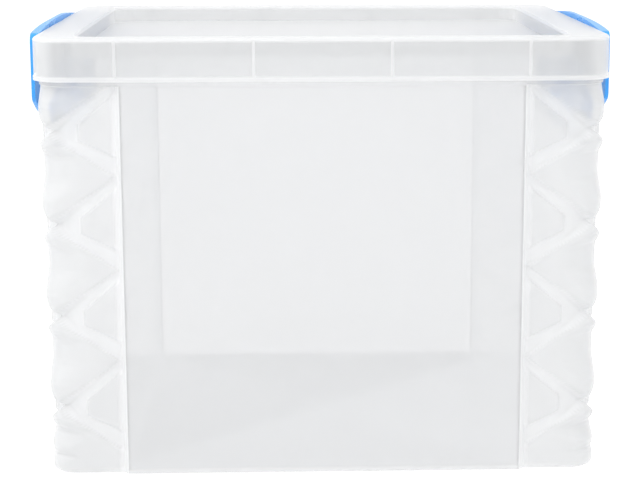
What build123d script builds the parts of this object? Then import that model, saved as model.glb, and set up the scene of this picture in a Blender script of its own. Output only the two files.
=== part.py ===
"""Clear latching storage box: a deep moulded tub, a recessed lid and two end latches.

Units are millimetres. +X runs along the width, +Y to the back and +Z up.
The origin is the middle of the underside, where the box stands.
"""
from build123d import *
import math
import os

# Lid: a downturned skirt, a raised rim and a sunk centre that takes the next box
lid_width = 350.0
lid_depth = 305.0
lid_top = 272.5
lid_wall = 1.8
lid_radius = 22.0
skirt_height = 26.0
skirt_bead = 0.5
bead_height = 2.5
recess_depth = 11.0
rim_width_ends = 24.5
rim_width_front = 13.0
recess_radius = 12.0
rim_edge_round = 2.2
rib_spacing = 82.7
rib_count = 4
rib_thickness = 1.4
rib_gap = 0.3

# Tub: tapered body, raised panels front and back, a wavy groove round each corner
tub_wall = 2.0
floor_thickness = 2.6
body_top = 245.5
draft_angle = 0.5
body_half_x = 169.9
body_half_y = 143.3
panel_half_x = 123.7
panel_half_y = 146.8
body_radius = 28.0
panel_radius = 2.5
inner_edge_radius = 1.0
groove_depth = 2.2

# Rim of the tub, which stands up inside the skirt of the lid
rim_half_x = 171.6
rim_half_y = 149.2
rim_radius = 20.0
rim_wall = 2.2
shoulder = 2.0
rest_gap = 0.1

# Wavy groove: chevrons stacked up each corner
wave_count = 4
wave_pitch = 57.5
wave_low = 16.0
crest_drop = 1.5
crest_half = 6.0
window_tip = 148.0
window_tip_half = 5.0
window_top_margin = 7.0
window_low_margin = 12.0
corner_reach = 161.0
end_panel_half_y = 102.0
vertex_overlap = 1.0

# The corner between the grooves: height above a groove's crest, and how square the corner is there
crest_square = (
    (-18.0, 0.0), (-12.5, 0.6), (-8.0, 1.0), (9.0, 0.95), (14.5, 1.0), (21.0, 0.6), (29.0, 0.0),
)
# The same near the floor, with a small notch above the base ring
foot_square = ((5.5, 1.0), (9.0, 0.9), (11.6, 0.55), (14.5, 0.85), (18.2, 1.0), (22.0, 0.5))
square_radius = 13.0
square_out = 0.3
round_sink = 0.4
# Rounded foot: height, and how far the wall is drawn in there
foot_curve = ((0.0, 3.6), (0.7, 2.0), (2.2, 0.8), (4.5, 0.0))

# Latches: C-shaped grips on stub pins in lugs under the rim of the tub
latch_outer = 181.0
latch_wall = 2.2
latch_half_length = 98.0
latch_mid_top = 274.8
latch_end_top = 270.8
latch_mid_low = 207.0
latch_end_low = 230.0
latch_end_round = 6.0
latch_top_round = 3.5
lip_inner = 175.6
lip_slope = 1.44
lip_nose = 266.9
pivot_x = 173.0
pivot_z = 214.0
pin_radius = 1.8
pin_clearance = 0.06
knuckle_radius = 4.0
lug_start_y = 70.0
lug_thickness = 4.0
arm_thickness = 5.3
side_gap = 0.3
# Curve of the latch's foot, outside and inside, as points of the cross-section
foot_outer = (178.9, 214.0)
foot_inner = (176.9, 215.2)
foot_start_z = 224.0
foot_lead = 0.3
# Arm from the grip to its pin: where it starts beside the pin, and where it joins the grip
arm_root = (2.6, 3.0)
arm_join = (9.0, 24.0)

# Pocket in each end wall behind the latch, and the keeper on the lid that it hooks
pocket_x = 164.0
pocket_half_y = 104.0
pocket_low = 200.0
keeper_nose = 175.3
keeper_half_length = 84.0
keeper_gap = 0.9
keeper_nose_thickness = 2.0
keeper_root_thickness = 4.0

skirt_low = lid_top - skirt_height
skirt_half_x = lid_width / 2 - skirt_bead
skirt_half_y = lid_depth / 2 - skirt_bead
rim_top = lid_top - lid_wall - rest_gap
shoulder_low = body_top - shoulder
# Cutting tools run past the surface by one, or past the whole box
past = 1.0
far = 400.0
# A quarter round's middle is this share of its radius in from the square corner
quarter_inset = 0.293


def rounded_block(half_x, half_y, radius, low, high):
    """Upright block with rounded corners, centred on the Z axis."""
    outline = RectangleRounded(2 * half_x, 2 * half_y, radius)
    return extrude(Pos(0, 0, low) * outline, amount=high - low)


def drafted_block(half_x, half_y, radius, levels, widens=(1, 1)):
    """Rounded block that grows upward by the draft, through levels of height and draw-in."""
    sections = []
    for height, drawn_in in levels:
        grow = height * math.tan(math.radians(draft_angle))
        size_x = half_x + grow * widens[0] - drawn_in
        size_y = half_y + grow * widens[1] - drawn_in
        sections.append(Pos(0, 0, height) * RectangleRounded(2 * size_x, 2 * size_y, radius))
    return loft(sections, ruled=True)


def box_between(low, high):
    """Box from its lowest to its highest corner."""
    size = [high[i] - low[i] for i in range(3)]
    middle = [(high[i] + low[i]) / 2 for i in range(3)]
    return Pos(*middle) * Box(*size)


def chevron_outline(start, reach, level):
    """One chevron in a plane, with its window filled: across from the panel edge, up the height."""
    high = level + wave_pitch
    crest = (level + high) / 2 - crest_drop
    return Polygon(
        (start, high + vertex_overlap),
        (reach, crest + crest_half),
        (far, crest + crest_half),
        (far, crest - crest_half),
        (reach, crest - crest_half),
        (start, level - vertex_overlap),
        align=None,
    )


def window_outline(start, tip, level):
    """The flat window that a chevron goes round."""
    high = level + wave_pitch
    crest = (level + high) / 2 - crest_drop
    return Polygon(
        (start - past, high - window_top_margin),
        (tip, crest + window_tip_half),
        (tip, crest - window_tip_half),
        (start - past, level + window_low_margin),
        align=None,
    )


def front_of_corner():
    """Space in front of the diagonal through the front right corner."""
    centre_x, centre_y = body_half_x - body_radius, body_radius - body_half_y
    outline = Polygon(
        (panel_half_x, centre_y - far), (centre_x + far, centre_y - far),
        (centre_x, centre_y), (panel_half_x, centre_y), align=None,
    )
    return extrude(outline, amount=body_top)


def side_of_corner():
    """Space on the end's side of the same diagonal."""
    centre_x, centre_y = body_half_x - body_radius, body_radius - body_half_y
    outline = Polygon(
        (centre_x, centre_y), (centre_x + far, centre_y - far),
        (centre_x + far, -end_panel_half_y), (centre_x, -end_panel_half_y), align=None,
    )
    return extrude(outline, amount=body_top)


def corner_tools(with_window):
    """Cutting tools for the chevrons round the front right corner."""
    shift = end_panel_half_y - panel_half_x
    tools = []
    for step in range(wave_count):
        level = wave_low + step * wave_pitch
        front = chevron_outline(panel_half_x, corner_reach, level)
        side = chevron_outline(end_panel_half_y, corner_reach + body_half_y - body_half_x, level)
        if with_window:
            front -= window_outline(panel_half_x, window_tip, level)
            side -= window_outline(end_panel_half_y, window_tip + shift, level)
        front = extrude(Plane.XZ * front, amount=far, both=True)
        side = extrude(Plane.YZ * side, amount=far, both=True)
        tools.append(front & front_of_corner())
        tools.append(mirror(side, about=Plane.XZ) & side_of_corner())
    return tools


def all_corners(tools):
    """The same tools at all four corners."""
    front = tools + [mirror(tool, about=Plane.YZ) for tool in tools]
    return front + [mirror(tool, about=Plane.XZ) for tool in front]


def squared_form():
    """Block whose corners turn square and round by turns between the crests of the grooves."""
    levels = list(foot_square)
    for step in range(wave_count):
        crest = wave_low + (step + 0.5) * wave_pitch - crest_drop
        levels += [(crest + rise, square) for rise, square in crest_square]
    sections = []
    for height, drawn_in in foot_curve:
        sections.append((height, drawn_in - square_out, square_radius))
    for height, square in levels:
        radius = body_radius + (square_radius - body_radius) * square
        sections.append((height, round_sink * (1 - square) - square_out * square, radius))
    outlines = []
    for height, drawn_in, radius in sections:
        out = height * math.tan(math.radians(draft_angle)) - drawn_in
        size_x, size_y = body_half_x + out, body_half_y + out
        outlines.append(Pos(0, 0, height) * RectangleRounded(2 * size_x, 2 * size_y, radius))
    return loft(outlines, ruled=True)


def outer_form():
    """Outside of the tub: grooved body, squared corners, and the flat front and back panels."""
    levels = foot_curve + ((body_top, 0.0),)
    body = drafted_block(body_half_x, body_half_y, body_radius, levels)
    for tool in all_corners(corner_tools(True)):
        body -= tool
    squared = squared_form()
    for tool in all_corners(corner_tools(False)):
        squared -= tool
    core = drafted_block(
        body_half_x - groove_depth, body_half_y - groove_depth, body_radius - groove_depth, levels
    )
    panels = drafted_block(
        panel_half_x, panel_half_y, panel_radius, ((0.0, 0.0), (body_top, 0.0)), widens=(0, 1)
    )
    return body + core + panels + squared


def inner_form():
    """Hollow of the tub, with smooth corners behind the grooves."""
    levels = ((floor_thickness, 0.0), (body_top, 0.0))
    inset = groove_depth + tub_wall
    core = drafted_block(body_half_x - inset, body_half_y - inset, body_radius - inset, levels)
    panels = drafted_block(
        panel_half_x - tub_wall, panel_half_y - tub_wall, inner_edge_radius, levels, widens=(0, 1)
    )
    ends = drafted_block(
        body_half_x - tub_wall, end_panel_half_y - tub_wall, inner_edge_radius, levels, widens=(1, 0)
    )
    return core + panels + ends


def pocket_wall():
    """Recessed part of the right end wall, with the pocket still to be cut."""
    return box_between(
        (pocket_x - tub_wall, -pocket_half_y - tub_wall, pocket_low - tub_wall),
        (rim_half_x, pocket_half_y + tub_wall, body_top),
    )


def pocket_space():
    """Free space behind the right latch."""
    return box_between(
        (pocket_x, -pocket_half_y, pocket_low),
        (latch_outer, pocket_half_y, shoulder_low),
    )


def lug(centre_y):
    """Lug on the right end wall that holds one stub pin."""
    knuckle = Pos(pivot_x, centre_y, pivot_z) * Rot(90, 0, 0) * Cylinder(knuckle_radius, lug_thickness)
    web = box_between(
        (pocket_x - tub_wall / 2, centre_y - lug_thickness / 2, pivot_z - knuckle_radius),
        (pivot_x, centre_y + lug_thickness / 2, pivot_z + knuckle_radius),
    )
    hole = Pos(pivot_x, centre_y, pivot_z) * Rot(90, 0, 0) * Cylinder(
        pin_radius + pin_clearance, lug_thickness + 2 * past
    )
    return knuckle + web - hole


def make_tub():
    """Open tub with corner grooves, latch pockets, lugs and an upright rim."""
    tub = outer_form() + rounded_block(rim_half_x, rim_half_y, rim_radius, shoulder_low, rim_top)
    tub -= inner_form()
    tub -= rounded_block(
        rim_half_x - rim_wall, rim_half_y - rim_wall, rim_radius - rim_wall,
        body_top - rest_gap, rim_top + past,
    )
    lug_middle = lug_start_y + lug_thickness / 2
    ends = pocket_wall()
    tub += ends + mirror(ends, about=Plane.YZ)
    space = pocket_space()
    tub -= space + mirror(space, about=Plane.YZ)
    for centre_y in (-lug_middle, lug_middle):
        holder = lug(centre_y)
        tub += holder
        tub += mirror(holder, about=Plane.YZ)
    return tub


def locating_ribs():
    """Small ribs under the lid's rim that centre it on the rim of the tub, front and back."""
    ribs = []
    wall_outer = lid_depth / 2 - rim_width_front + lid_wall
    for step in range(rib_count):
        x = (step - (rib_count - 1) / 2) * rib_spacing
        for side in (-1, 1):
            skirt_rib = box_between(
                (x - rib_thickness / 2, rim_half_y + rib_gap, skirt_low),
                (x + rib_thickness / 2, skirt_half_y - lid_wall / 2, lid_top - lid_wall / 2),
            )
            tray_rib = box_between(
                (x - rib_thickness / 2, wall_outer - lid_wall / 2, lid_top - recess_depth - lid_wall),
                (x + rib_thickness / 2, rim_half_y - rim_wall - rib_gap, lid_top - lid_wall / 2),
            )
            for rib in (skirt_rib, tray_rib):
                ribs.append(rib if side > 0 else mirror(rib, about=Plane.XZ))
    return ribs


def keeper():
    """Ramped ledge on the right end of the skirt, under which the latch's lip hooks."""
    start = skirt_half_x - lid_wall / 2
    top = lip_nose - keeper_gap - lip_slope * (start - lip_inner)
    nose_top = lip_nose - keeper_gap - lip_slope * (keeper_nose - lip_inner)
    outline = Plane.XZ * Polygon(
        (start, top), (keeper_nose, nose_top), (keeper_nose, nose_top - keeper_nose_thickness),
        (start, nose_top - keeper_root_thickness), align=None,
    )
    return extrude(outline, amount=keeper_half_length, both=True)


def make_lid():
    """Lid with skirt, raised rim, sunk centre, locating ribs and a keeper at each end."""
    lid = rounded_block(skirt_half_x, skirt_half_y, lid_radius, skirt_low, lid_top)
    lid = fillet(lid.faces().sort_by(Axis.Z)[-1].edges(), rim_edge_round)
    lid += rounded_block(
        lid_width / 2, lid_depth / 2, lid_radius + skirt_bead, skirt_low, skirt_low + bead_height
    )
    lid -= rounded_block(
        skirt_half_x - lid_wall, skirt_half_y - lid_wall, lid_radius - lid_wall,
        skirt_low - past, lid_top - lid_wall,
    )
    tray_x = lid_width / 2 - rim_width_ends
    tray_y = lid_depth / 2 - rim_width_front
    tray_low = lid_top - recess_depth
    lid += rounded_block(
        tray_x + lid_wall, tray_y + lid_wall, recess_radius + lid_wall,
        tray_low - lid_wall, lid_top - lid_wall / 2,
    )
    lid -= rounded_block(tray_x, tray_y, recess_radius, tray_low, lid_top + past)
    for rib in locating_ribs():
        lid += rib
    ledge = keeper()
    lid += ledge + mirror(ledge, about=Plane.YZ)
    return lid


def latch_section():
    """Cross-section of the right latch: lip, upright grip and inturned lower edge."""
    inner = latch_outer - latch_wall
    nose_low = lip_nose - lip_slope * (inner - lip_inner)
    outer_curve = ThreePointArc((pivot_x, latch_mid_low), foot_outer, (latch_outer, foot_start_z))
    inner_curve = ThreePointArc(
        (inner, foot_start_z), foot_inner, (pivot_x - foot_lead, latch_mid_low + latch_wall)
    )
    inset = latch_top_round * quarter_inset
    top_arc = ThreePointArc(
        (latch_outer, latch_mid_top - latch_top_round),
        (latch_outer - inset, latch_mid_top - inset),
        (latch_outer - latch_top_round, latch_mid_top),
    )
    edges = [
        outer_curve,
        Line(outer_curve @ 1, top_arc @ 0),
        top_arc,
        Polyline(
            (latch_outer - latch_top_round, latch_mid_top), (lip_inner, latch_mid_top),
            (lip_inner, lip_nose), (inner, nose_low), (inner, foot_start_z),
        ),
        inner_curve,
        Line(inner_curve @ 1, outer_curve @ 0),
    ]
    return Plane.XZ * make_face(Curve() + edges)


def latch_face():
    """Side outline of the latch: arched top, rounded ends and a crescent lower edge."""
    half = latch_half_length
    top = ThreePointArc((-half, latch_end_top), (0, latch_mid_top), (half, latch_end_top))
    low = ThreePointArc((half, latch_end_low), (0, latch_mid_low), (-half, latch_end_low))
    outline = make_face(
        Curve() + [top, Line((half, latch_end_top), (half, latch_end_low)), low,
                   Line((-half, latch_end_low), (-half, latch_end_top))]
    )
    outline = fillet(outline.vertices(), latch_end_round)
    return Plane.YZ * outline


def latch_arm(side):
    """Arm inside the latch with its stub pin; side is -1 for the front one."""
    outer_y = lug_start_y - side_gap
    middle = outer_y - arm_thickness / 2
    inner = latch_outer - latch_wall / 2
    profile = Plane.XZ * Polygon(
        (pivot_x - arm_root[0], pivot_z + arm_root[1]), (inner, pivot_z + arm_join[1]),
        (inner, pivot_z + arm_join[0]), (pivot_x + arm_root[1], pivot_z - arm_root[0]), align=None,
    )
    arm = Pos(0, middle, 0) * extrude(profile, amount=arm_thickness / 2, both=True)
    arm += Pos(pivot_x, middle, pivot_z) * Rot(90, 0, 0) * Cylinder(knuckle_radius, arm_thickness)
    pin_length = lug_thickness + 2 * side_gap
    pin_middle = outer_y + pin_length / 2 - side_gap
    arm += Pos(pivot_x, pin_middle, pivot_z) * Rot(90, 0, 0) * Cylinder(pin_radius, pin_length)
    return arm if side > 0 else mirror(arm, about=Plane.XZ)


def make_right_latch():
    """Grip, lip, two arms and two stub pins in one moulding."""
    grip = extrude(latch_section(), amount=latch_half_length, both=True)
    grip = grip & extrude(latch_face(), amount=2 * latch_outer, both=True)
    return grip + latch_arm(-1) + latch_arm(1)


os.makedirs("parts", exist_ok=True)
right_latch = make_right_latch()
pieces = {
    "tub": make_tub(),
    "lid": make_lid(),
    "left_latch": Rot(0, 0, 180) * right_latch,
    "right_latch": right_latch,
}
for name, piece in pieces.items():
    export_step(piece, f"parts/{name}.step")
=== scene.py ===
"""Visual model of the clear latching storage box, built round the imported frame."""
import bpy
import math
import numpy as np
from mathutils import Matrix, Vector


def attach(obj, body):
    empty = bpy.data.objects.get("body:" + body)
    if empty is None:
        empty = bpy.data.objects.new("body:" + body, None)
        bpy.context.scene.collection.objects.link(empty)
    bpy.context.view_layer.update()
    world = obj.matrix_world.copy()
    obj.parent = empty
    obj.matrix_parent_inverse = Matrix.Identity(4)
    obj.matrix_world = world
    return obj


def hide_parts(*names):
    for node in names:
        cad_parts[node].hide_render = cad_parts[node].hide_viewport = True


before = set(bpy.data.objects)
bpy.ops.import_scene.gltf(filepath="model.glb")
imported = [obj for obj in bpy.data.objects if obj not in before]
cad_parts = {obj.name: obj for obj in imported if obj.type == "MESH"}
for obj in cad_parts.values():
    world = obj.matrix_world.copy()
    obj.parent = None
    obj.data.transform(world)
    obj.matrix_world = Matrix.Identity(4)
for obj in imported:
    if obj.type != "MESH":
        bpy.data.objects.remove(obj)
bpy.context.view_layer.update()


def add_camera():
    """Camera a little above the front edge of the lid, looking almost straight at the front."""
    down, turn, roll = 0.1977, 0.0327, -0.0011
    forward = Vector((math.sin(turn) * math.cos(down), math.cos(turn) * math.cos(down), -math.sin(down)))
    level = Vector((math.cos(turn), -math.sin(turn), 0.0))
    up = level.cross(forward)
    right = level * math.cos(roll) + up * math.sin(roll)
    up = right.cross(forward)
    data = bpy.data.cameras.new("camera")
    data.lens = 99.06
    data.sensor_width = 36.0
    data.shift_x = -0.0437
    data.shift_y = 0.0034
    camera = bpy.data.objects.new("camera", data)
    bpy.context.scene.collection.objects.link(camera)
    turned = Matrix((right, up, -forward)).transposed().to_4x4()
    camera.matrix_world = Matrix.Translation((-0.01962, -1.19968, 0.35865)) @ turned
    bpy.context.scene.camera = camera


def area_light(name, place, aim, size, power):
    """Soft rectangular lamp at a place, turned towards a point."""
    data = bpy.data.lights.new(name, "AREA")
    data.shape = "RECTANGLE"
    data.size, data.size_y = size
    data.energy = power
    lamp = bpy.data.objects.new(name, data)
    bpy.context.scene.collection.objects.link(lamp)
    lamp.location = place
    lamp.rotation_mode = "QUATERNION"
    lamp.rotation_quaternion = (Vector(aim) - Vector(place)).to_track_quat("-Z", "Y")
    lamp.visible_camera = False


def add_stage():
    """White surroundings, a plain floor that glows so that it shows no shadow, and one soft lamp."""
    scene = bpy.context.scene
    scene.view_settings.view_transform = "Standard"
    world = bpy.data.worlds.new("studio")
    world.use_nodes = True
    world.node_tree.nodes["Background"].inputs["Color"].default_value = (1, 1, 1, 1)
    world.node_tree.nodes["Background"].inputs["Strength"].default_value = 1.06
    scene.world = world
    mesh = bpy.data.meshes.new("floor")
    reach = 6.0
    corners = [(-reach, -reach, 0), (reach, -reach, 0), (reach, reach, 0), (-reach, reach, 0)]
    mesh.from_pydata(corners, [], [(0, 1, 2, 3)])
    floor = bpy.data.objects.new("floor", mesh)
    scene.collection.objects.link(floor)
    material = bpy.data.materials.new("floor_white")
    material.use_nodes = True
    shader = material.node_tree.nodes["Principled BSDF"]
    shader.inputs["Base Color"].default_value = (0.12, 0.12, 0.12, 1)
    shader.inputs["Roughness"].default_value = 0.9
    shader.inputs["Emission Color"].default_value = (1, 1, 1, 1)
    shader.inputs["Emission Strength"].default_value = 0.96
    mesh.materials.append(material)
    area_light("key", (-1.2, -1.0, 1.6), (0, 0, 0.15), (1.2, 0.8), 12)


# Sizes in millimetres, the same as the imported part's
MM = 0.001
DRAFT = math.tan(math.radians(0.5))
BODY_X, BODY_Y = 169.9, 143.3
BODY_RADIUS, SWELL_RADIUS, NOMINAL_RADIUS = 28.0, 13.0, 20.0
PANEL_Y = 146.8
END_Y = 102.0
WALL, FLOOR = 2.0, 2.6
FOOT_ROUND = 4.5
SHOULDER = 243.5
RIM_X, RIM_Y, RIM_RADIUS, RIM_WALL, RIM_TOP = 171.6, 149.2, 20.0, 2.2, 270.6
RAMP_IN, RAMP_OUT = 122.4, 125.4
PITCH, FIRST_VERTEX, CREST_DROP, CHEVRONS = 57.5, 16.0, 1.5, 4
TIP_HALF = 1.2
WINDOW_TOP, WINDOW_LOW, WINDOW_TIP_HALF, WINDOW_TIP = 7.0, 11.5, 5.0, 23.0
GROOVE, SWELL = 1.6, 0.3
EDGE, SQUARE_EDGE = 3.0, 6.0
POCKET_X, POCKET_LOW, POCKET_HALF = 164.0, 200.0, 101.0
PIVOT_X, PIVOT_Z, KNUCKLE, LUG_MIDDLE, LUG_HALF = 173.0, 214.0, 4.0, 72.0, 2.0
LID_TOP, LID_Y, SKIRT_LOW, RIB_SPACING, RIBS = 272.5, 152.5, 246.5, 82.7, 4
# Mesh rows and columns
ROW_STEP, SHOULDER_DROP, RIM_MIDDLE, RIM_EDGE = 1.1, 0.4, 257.0, 0.5
PANEL_COLUMNS, RAMP_COLUMNS, CORNER_COLUMNS = 13, 8, 84
POCKET_STEP, RAMP_LEAN, LUG_EDGE = 0.8, 0.6, 0.4
# How far the corner swells: height above a crest, and its share; then the same near the foot
RISE = (-18, -15, -12, -8, -4, 4, 9, 14, 18, 22, 26, 29)
SWELL_AT = (0, 0.15, 0.6, 1, 0.95, 0.95, 0.95, 1, 0.8, 0.45, 0.12, 0)
FOOT_LEVELS = (0, 5, 9, 11.6, 14.5, 18.2, 22, 26)
FOOT_SWELL = (1, 1, 0.92, 0.55, 0.85, 1, 0.5, 0)


def ease(t):
    """Smooth step from 0 to 1."""
    t = np.clip(t, 0.0, 1.0)
    return t * t * (3.0 - 2.0 * t)


def crest_of(step):
    """Height of a chevron's crest."""
    return FIRST_VERTEX + (step + 0.5) * PITCH - CREST_DROP


def swell_at(z):
    """How far the corner swells outward at a height, from 0 to 1."""
    if z < FOOT_LEVELS[-1]:
        return float(np.interp(z, FOOT_LEVELS, FOOT_SWELL))
    rises = [z - crest_of(step) for step in range(CHEVRONS)]
    return max(float(np.interp(rise, RISE, SWELL_AT, left=0, right=0)) for rise in rises)


def chevron_masks(q, along, z):
    """Share of band and share of outer diamond at points along the corner, at one height."""
    band = np.zeros_like(q)
    inside = np.zeros_like(q)
    for step in range(CHEVRONS):
        low = FIRST_VERTEX + step * PITCH
        high = low + PITCH
        crest = crest_of(step)
        upper = high + (crest + TIP_HALF - high) * q
        lower = low + (crest - TIP_HALF - low) * q
        depth = np.minimum(upper - z, z - lower)
        part = np.clip(along / WINDOW_TIP, 0, 1)
        window_up = high - WINDOW_TOP + (crest + WINDOW_TIP_HALF - high + WINDOW_TOP) * part
        window_low = low + WINDOW_LOW + (crest - WINDOW_TIP_HALF - low - WINDOW_LOW) * part
        window = np.minimum(np.minimum(window_up - z, z - window_low), (WINDOW_TIP - along))
        full = ease(depth / EDGE + 0.5)
        band = np.maximum(band, full * (1 - ease(window / EDGE + 0.5)))
        inside = np.maximum(inside, ease(depth / SQUARE_EDGE + 0.5))
    outer = 1 - inside
    if z < FIRST_VERTEX:
        share = float(ease((FIRST_VERTEX - z) / EDGE))
        outer = outer * (1 - share) + share
        band = band * (1 - share)
    return band, outer


def corner_points(share, half_x, half_y, radius):
    """Points from the panel's edge round the corner to the end wall, by their share of the way."""
    flat = half_x - radius - RAMP_OUT
    arc = radius * math.pi / 2
    side = half_y - radius - END_Y
    run = share * (flat + arc + side)
    angle = np.clip((run - flat) / radius, 0, math.pi / 2)
    x = np.minimum(RAMP_OUT + run, half_x - radius) + radius * np.sin(angle)
    y = -(half_y - radius) - radius * np.cos(angle)
    past = run - flat - arc
    y = np.where(past > 0, -(half_y - radius) + past, y)
    return x, y


def tub_columns():
    """Places of the columns: x on the panel, share round the corner, y on the end wall."""
    panel = np.concatenate([np.linspace(0, 120, PANEL_COLUMNS), [RAMP_IN - 0.6]])
    ramp = np.linspace(0, 1, RAMP_COLUMNS)[:-1]
    corner = np.linspace(0, 1, CORNER_COLUMNS)
    pocket_edge = [END_Y - 0.7, POCKET_HALF, POCKET_HALF - POCKET_STEP]
    end = -np.concatenate([pocket_edge, np.linspace(96, 0, PANEL_COLUMNS)])
    return panel, ramp, corner, end


def tub_row(z, inset, foot=0.0):
    """One level of a quarter of the tub: points, and how much milkiness each one has, with painted
    highlights as bright lines on the ramp at the panel's edge and along the bands' edges.
    """
    panel, ramp, corner, end = tub_columns()
    grow = z * DRAFT
    half_x, half_y = BODY_X + grow - inset - foot, BODY_Y + grow - inset - foot
    nominal_flat = BODY_X - NOMINAL_RADIUS - RAMP_OUT
    nominal_side = BODY_Y - NOMINAL_RADIUS - END_Y
    total = nominal_flat + NOMINAL_RADIUS * math.pi / 2 + nominal_side
    run = corner * total
    middle = nominal_flat + NOMINAL_RADIUS * math.pi / 4
    along = np.where(run < middle, run, total - run)
    q = np.where(run < middle, run / middle, (total - run) / (total - middle))
    band, outer = chevron_masks(q, along, z)
    swell = swell_at(z) * outer
    out = SWELL * swell - GROOVE * band
    radius = BODY_RADIUS + (SWELL_RADIUS - BODY_RADIUS) * swell - inset
    x = np.zeros_like(corner)
    y = np.zeros_like(corner)
    for i, share in enumerate(corner):
        x[i], y[i] = corner_points(share, half_x + out[i], half_y + out[i], radius[i])
    panel_y = -(PANEL_Y + grow - inset - foot)
    ramp_x = RAMP_IN + (RAMP_OUT - RAMP_IN) * ramp - inset * RAMP_LEAN
    ramp_y = panel_y + (y[0] - panel_y) * ease(ramp)
    x = x - inset * RAMP_LEAN * (1 - ease(corner * 12))
    pocket = ease((POCKET_HALF - np.abs(end)) / POCKET_STEP) * float(ease((z - POCKET_LOW) / POCKET_STEP))
    end_x = np.full_like(end, half_x) + (POCKET_X - inset - half_x) * pocket
    points = [(px, panel_y) for px in panel] + list(zip(ramp_x, ramp_y))
    points += list(zip(x, y)) + list(zip(end_x, end))
    # Painted highlights: bright lines put into the milkiness along the edges of each band and on the ramp
    # at the panel's edge; the bands themselves are milkier plastic.
    band_edge_highlight = 4 * band * (1 - band)
    milk_with_edge_highlight = np.maximum(0.45 + 0.4 * band, 0.75 * band_edge_highlight)
    milk_and_highlight = [0.0] * len(panel) + [1.0] * len(ramp)
    milk_and_highlight += list(np.maximum(milk_with_edge_highlight, 1 - ease(corner * 16)) * (1 - ease(corner * 16 - 15)))
    milk_and_highlight += [0.0] * len(end)
    return np.array(points), milk_and_highlight


def rim_row(inset):
    """The same columns on the rim that stands inside the lid."""
    panel, ramp, corner, end = tub_columns()
    x, y = corner_points(corner, RIM_X - inset, RIM_Y - inset, RIM_RADIUS - inset)
    ramp_x = RAMP_IN + (RAMP_OUT - RAMP_IN) * ramp
    points = [(px, inset - RIM_Y) for px in panel] + [(px, inset - RIM_Y) for px in ramp_x]
    points += list(zip(x, y)) + [(RIM_X - inset, py) for py in end]
    return np.array(points), [0.0] * len(points)


def full_loop(points, milk_and_highlight):
    """A quarter's row carried round all four quarters."""
    right = list(points) + [(x, -y) for x, y in points[-2::-1]]
    values = list(milk_and_highlight) + list(milk_and_highlight[-2::-1])
    left = [(-x, y) for x, y in right[-2:0:-1]]
    return right + left, values + values[-2:0:-1]


def loft_rows(name, rows):
    """Closed mesh through level loops of equal length, with its milkiness and painted highlights kept per
    vertex.
    """
    verts, faces, values = [], [], []
    for points, milk_and_highlight, z in rows:
        loop, row_values = full_loop(points, milk_and_highlight)
        verts += [(x * MM, y * MM, z * MM) for x, y in loop]
        values += row_values
    count = len(verts) // len(rows)
    for row in range(len(rows) - 1):
        for i in range(count):
            j = (i + 1) % count
            a, b = row * count, (row + 1) * count
            faces.append((a + i, a + j, b + j, b + i))
    faces.append(tuple(reversed(range(count))))
    faces.append(tuple(range(len(verts) - count, len(verts))))
    mesh = bpy.data.meshes.new(name)
    mesh.from_pydata(verts, [], faces)
    attribute = mesh.attributes.new("milk_and_highlight", "FLOAT", "POINT")
    attribute.data.foreach_set("value", np.array(values, np.float32))
    for polygon in mesh.polygons:
        polygon.use_smooth = len(polygon.vertices) == 4
    thing = bpy.data.objects.new(name, mesh)
    bpy.context.scene.collection.objects.link(thing)
    return thing


def make_tub():
    """Tub: outer skin, shoulder, rim, inner skin and floor, as one closed form."""
    rows = []
    for turn in (10, 30, 50, 70):
        angle = math.radians(turn)
        foot = FOOT_ROUND * (1 - math.sin(angle))
        z = FOOT_ROUND * (1 - math.cos(angle))
        rows.append((*tub_row(z, 0.0, foot), z))
    levels = list(np.arange(FOOT_ROUND, SHOULDER - SHOULDER_DROP, ROW_STEP))
    levels = sorted(set(levels + [POCKET_LOW, POCKET_LOW + POCKET_STEP]))
    rows += [(*tub_row(z, 0.0), z) for z in levels]
    rows.append((*tub_row(SHOULDER - SHOULDER_DROP, 0.0), SHOULDER))
    rows.append((*rim_row(0.2), SHOULDER + 0.1))
    rows.append((*rim_row(0.0), SHOULDER + 0.4))
    rows.append((*rim_row(0.0), RIM_MIDDLE))
    rows.append((*rim_row(0.0), RIM_TOP - RIM_EDGE))
    rows.append((*rim_row(RIM_EDGE), RIM_TOP))
    rows.append((*rim_row(RIM_WALL - RIM_EDGE), RIM_TOP))
    rows.append((*rim_row(RIM_WALL), RIM_TOP - RIM_EDGE))
    rows.append((*rim_row(RIM_WALL), RIM_MIDDLE))
    rows.append((*rim_row(RIM_WALL), SHOULDER + 0.5))
    rows.append((*tub_row(SHOULDER - SHOULDER_DROP, WALL), SHOULDER - SHOULDER_DROP))
    inner = [z for z in reversed(levels) if z > FLOOR + FOOT_ROUND - WALL]
    rows += [(*tub_row(z, WALL), z) for z in inner]
    for turn in (70, 45, 20):
        angle = math.radians(turn)
        foot = (FOOT_ROUND - WALL) * (1 - math.sin(angle))
        z = FLOOR + (FOOT_ROUND - WALL) * (1 - math.cos(angle))
        rows.append((*tub_row(z, WALL, foot), z))
    tub = loft_rows("tub_shell", rows)
    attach(tub, "tub")
    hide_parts("tub")
    return tub


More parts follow.
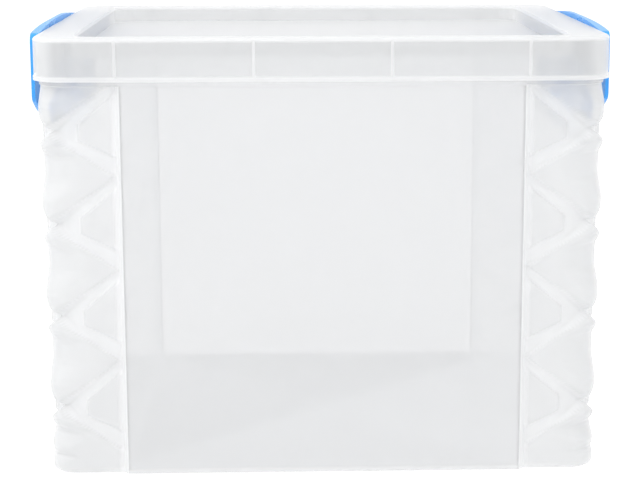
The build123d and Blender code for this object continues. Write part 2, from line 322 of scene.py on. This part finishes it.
def make_lugs():
    """Four lugs in the pockets, each a web that ends in a knuckle round the latch's pin."""
    angles = np.radians(np.linspace(-90, 90, 17))
    face = [(PIVOT_X + KNUCKLE * math.cos(a), PIVOT_Z + KNUCKLE * math.sin(a)) for a in angles]
    face += [(POCKET_X - WALL / 2, PIVOT_Z + KNUCKLE), (POCKET_X - WALL / 2, PIVOT_Z - KNUCKLE)]
    verts, faces = [], []
    count = len(face)
    middle = np.mean(face, axis=0)
    for side_x in (-1, 1):
        for side_y in (-1, 1):
            first = len(verts)
            levels = (-LUG_HALF, LUG_EDGE - LUG_HALF, LUG_HALF - LUG_EDGE, LUG_HALF)
            for y, shrink in zip(levels, (0.9, 1, 1, 0.9)):
                for x, z in middle + (np.array(face) - middle) * shrink:
                    verts.append((side_x * x * MM, (side_y * LUG_MIDDLE + y) * MM, z * MM))
            for row in range(3):
                a = first + row * count
                faces += [(a + i, a + (i + 1) % count, a + count + (i + 1) % count, a + count + i)
                          for i in range(count)]
            faces.append(tuple(reversed(range(first, first + count))))
            faces.append(tuple(range(first + 3 * count, first + 4 * count)))
            if side_x > 0:
                faces[-3 * count - 2:] = [tuple(reversed(f)) for f in faces[-3 * count - 2:]]
    mesh = bpy.data.meshes.new("tub_lugs")
    mesh.from_pydata(verts, [], faces)
    lugs = bpy.data.objects.new("tub_lugs", mesh)
    bpy.context.scene.collection.objects.link(lugs)
    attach(lugs, "tub")
    return lugs


def skin_milk_and_highlight(tree):
    """Milkiness and painted highlights stored on the tub's points."""
    attribute = tree.nodes.new("ShaderNodeAttribute")
    attribute.attribute_name = "milk_and_highlight"
    return attribute.outputs["Fac"]


def near(tree, value, centre, core, fade):
    """1 where a value is within core of centre, falling to 0 at fade."""
    off = tree.nodes.new("ShaderNodeMath")
    off.operation = "SUBTRACT"
    off.inputs[1].default_value = centre
    size = tree.nodes.new("ShaderNodeMath")
    size.operation = "ABSOLUTE"
    fall = tree.nodes.new("ShaderNodeMapRange")
    fall.interpolation_type = "SMOOTHSTEP"
    fall.inputs["From Min"].default_value = core
    fall.inputs["From Max"].default_value = fade
    fall.inputs["To Min"].default_value = 1.0
    fall.inputs["To Max"].default_value = 0.0
    tree.links.new(value, off.inputs[0])
    tree.links.new(off.outputs[0], size.inputs[0])
    tree.links.new(size.outputs[0], fall.inputs["Value"])
    return fall.outputs["Result"]


def join(tree, kind, first, second):
    """One value from two, by a maximum or a product."""
    node = tree.nodes.new("ShaderNodeMath")
    node.operation = kind
    tree.links.new(first, node.inputs[0])
    tree.links.new(second, node.inputs[1])
    return node.outputs[0]


def lid_milk_and_highlight(tree):
    """Thick lines of the lid, its ribs and the foot of its skirt, and a painted highlight along the top
    edge of its skirt.
    """
    place = tree.nodes.new("ShaderNodeTexCoord")
    parts = tree.nodes.new("ShaderNodeSeparateXYZ")
    tree.links.new(place.outputs["Object"], parts.inputs[0])
    x, y, z = parts.outputs
    milk_and_highlight_level = near(tree, z, SKIRT_LOW * MM, 0.0022, 0.0034)
    # Painted highlight: a bright line along the rounded top edge of the lid.
    milk_and_highlight_level = join(tree, "MAXIMUM", milk_and_highlight_level, near(tree, z, (LID_TOP - 1.0) * MM, 0.0006, 0.0022))
    front = tree.nodes.new("ShaderNodeMath")
    front.operation = "ABSOLUTE"
    tree.links.new(y, front.inputs[0])
    on_skirt = near(tree, front.outputs[0], LID_Y * MM, 0.003, 0.0045)
    for step in range(RIBS):
        rib = near(tree, x, (step - (RIBS - 1) / 2) * RIB_SPACING * MM, 0.0005, 0.0013)
        milk_and_highlight_level = join(tree, "MAXIMUM", milk_and_highlight_level, join(tree, "MULTIPLY", rib, on_skirt))
    return milk_and_highlight_level


def clear_plastic(name, through, haze, plain, milk_and_highlight_level, find_milk_and_highlight, rough=0.3, lit_through=0.45):
    """Clear plastic: partly see-through, with milkiness where it is moulded thicker and painted
    highlights that raise it further, with a glossy skin.
    """
    material = bpy.data.materials.new(name)
    material.use_nodes = True
    tree = material.node_tree
    tree.nodes.clear()
    out = tree.nodes.new("ShaderNodeOutputMaterial")
    mix = tree.nodes.new("ShaderNodeMixShader")
    see = tree.nodes.new("ShaderNodeBsdfTransparent")
    see.inputs["Color"].default_value = (*through, 1)
    skin = tree.nodes.new("ShaderNodeBsdfPrincipled")
    milk_and_highlight_share = find_milk_and_highlight(tree)
    tint = tree.nodes.new("ShaderNodeMix")
    tint.data_type = "RGBA"
    tint.inputs["A"].default_value = (*plain, 1)
    tint.inputs["B"].default_value = (*milk_and_highlight_level, 1)
    fresnel = tree.nodes.new("ShaderNodeFresnel")
    fresnel.inputs["IOR"].default_value = 1.4
    share = tree.nodes.new("ShaderNodeMapRange")
    share.inputs["To Min"].default_value = haze[0]
    share.inputs["To Max"].default_value = haze[1]
    add = tree.nodes.new("ShaderNodeMath")
    add.operation = "MULTIPLY_ADD"
    add.inputs[1].default_value = 0.4
    add.use_clamp = True
    # The milkiness share, painted highlights included, whitens the tint and raises the share of the hazy
    # body.
    tree.links.new(milk_and_highlight_share, tint.inputs["Factor"])
    tree.links.new(milk_and_highlight_share, share.inputs["Value"])
    tree.links.new(tint.outputs["Result"], skin.inputs["Base Color"])
    tree.links.new(fresnel.outputs[0], add.inputs[0])
    tree.links.new(share.outputs["Result"], add.inputs[2])
    tree.links.new(add.outputs[0], mix.inputs[0])
    glow = tree.nodes.new("ShaderNodeBsdfTranslucent")
    body = tree.nodes.new("ShaderNodeMixShader")
    body.inputs[0].default_value = lit_through
    add_grain(tree, skin, rough)
    tree.links.new(tint.outputs["Result"], glow.inputs["Color"])
    tree.links.new(skin.outputs[0], body.inputs[1])
    tree.links.new(glow.outputs[0], body.inputs[2])
    tree.links.new(see.outputs[0], mix.inputs[1])
    tree.links.new(body.outputs[0], mix.inputs[2])
    tree.links.new(mix.outputs[0], out.inputs["Surface"])
    return material


def add_grain(tree, shader, rough, flow=18.0, grain=900.0, depth=0.00004):
    """Moulded skin: slow flow waves and fine grain in the surface, and a gloss that varies with them."""
    place = tree.nodes.new("ShaderNodeTexCoord")
    waves = tree.nodes.new("ShaderNodeTexNoise")
    waves.inputs["Scale"].default_value = flow
    waves.inputs["Detail"].default_value = 2.0
    fine = tree.nodes.new("ShaderNodeTexNoise")
    fine.inputs["Scale"].default_value = grain
    fine.inputs["Detail"].default_value = 3.0
    gloss = tree.nodes.new("ShaderNodeMapRange")
    gloss.inputs["From Min"].default_value = 0.3
    gloss.inputs["From Max"].default_value = 0.7
    gloss.inputs["To Min"].default_value = rough * 0.92
    gloss.inputs["To Max"].default_value = rough * 1.08
    slow = tree.nodes.new("ShaderNodeBump")
    slow.inputs["Strength"].default_value = 0.5
    slow.inputs["Distance"].default_value = depth
    quick = tree.nodes.new("ShaderNodeBump")
    quick.inputs["Strength"].default_value = 0.4
    quick.inputs["Distance"].default_value = depth
    for noise in (waves, fine):
        tree.links.new(place.outputs["Object"], noise.inputs["Vector"])
    tree.links.new(waves.outputs["Fac"], gloss.inputs["Value"])
    tree.links.new(gloss.outputs["Result"], shader.inputs["Roughness"])
    tree.links.new(waves.outputs["Fac"], slow.inputs["Height"])
    tree.links.new(fine.outputs["Fac"], quick.inputs["Height"])
    tree.links.new(slow.outputs["Normal"], quick.inputs["Normal"])
    tree.links.new(quick.outputs["Normal"], shader.inputs["Normal"])


def blue_plastic():
    """Glossy blue moulded plastic that lets a little light in."""
    material = bpy.data.materials.new("blue_plastic")
    material.use_nodes = True
    tree = material.node_tree
    shader = tree.nodes["Principled BSDF"]
    shader.inputs["Subsurface Weight"].default_value = 0.15
    shader.inputs["Subsurface Radius"].default_value = (0.002, 0.003, 0.005)
    noise = tree.nodes.new("ShaderNodeTexNoise")
    noise.inputs["Scale"].default_value = 30.0
    place = tree.nodes.new("ShaderNodeTexCoord")
    tint = tree.nodes.new("ShaderNodeMix")
    tint.data_type = "RGBA"
    tint.inputs["A"].default_value = (0.04, 0.37, 0.95, 1)
    tint.inputs["B"].default_value = (0.05, 0.39, 0.98, 1)
    tree.links.new(place.outputs["Object"], noise.inputs["Vector"])
    tree.links.new(noise.outputs["Fac"], tint.inputs["Factor"])
    tree.links.new(tint.outputs["Result"], shader.inputs["Base Color"])
    add_grain(tree, shader, 0.28)
    return material


add_camera()
add_stage()
tub_plastic = clear_plastic("clear_tub_plastic", (0.972, 0.973, 0.975), (0.27, 0.6),
                            (0.85, 0.853, 0.857), (0.97, 0.973, 0.976), skin_milk_and_highlight)
lid_plastic = clear_plastic("clear_lid_plastic", (0.98, 0.981, 0.983), (0.32, 0.62),
                            (0.94, 0.943, 0.946), (0.99, 0.993, 0.996), lid_milk_and_highlight, lit_through=0.6)
blue = blue_plastic()
tub = make_tub()
tub.data.materials.append(tub_plastic)
make_lugs().data.materials.append(tub_plastic)
for name, made in (("lid", lid_plastic), ("left_latch", blue), ("right_latch", blue)):
    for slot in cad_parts[name].material_slots:
        slot.material = made
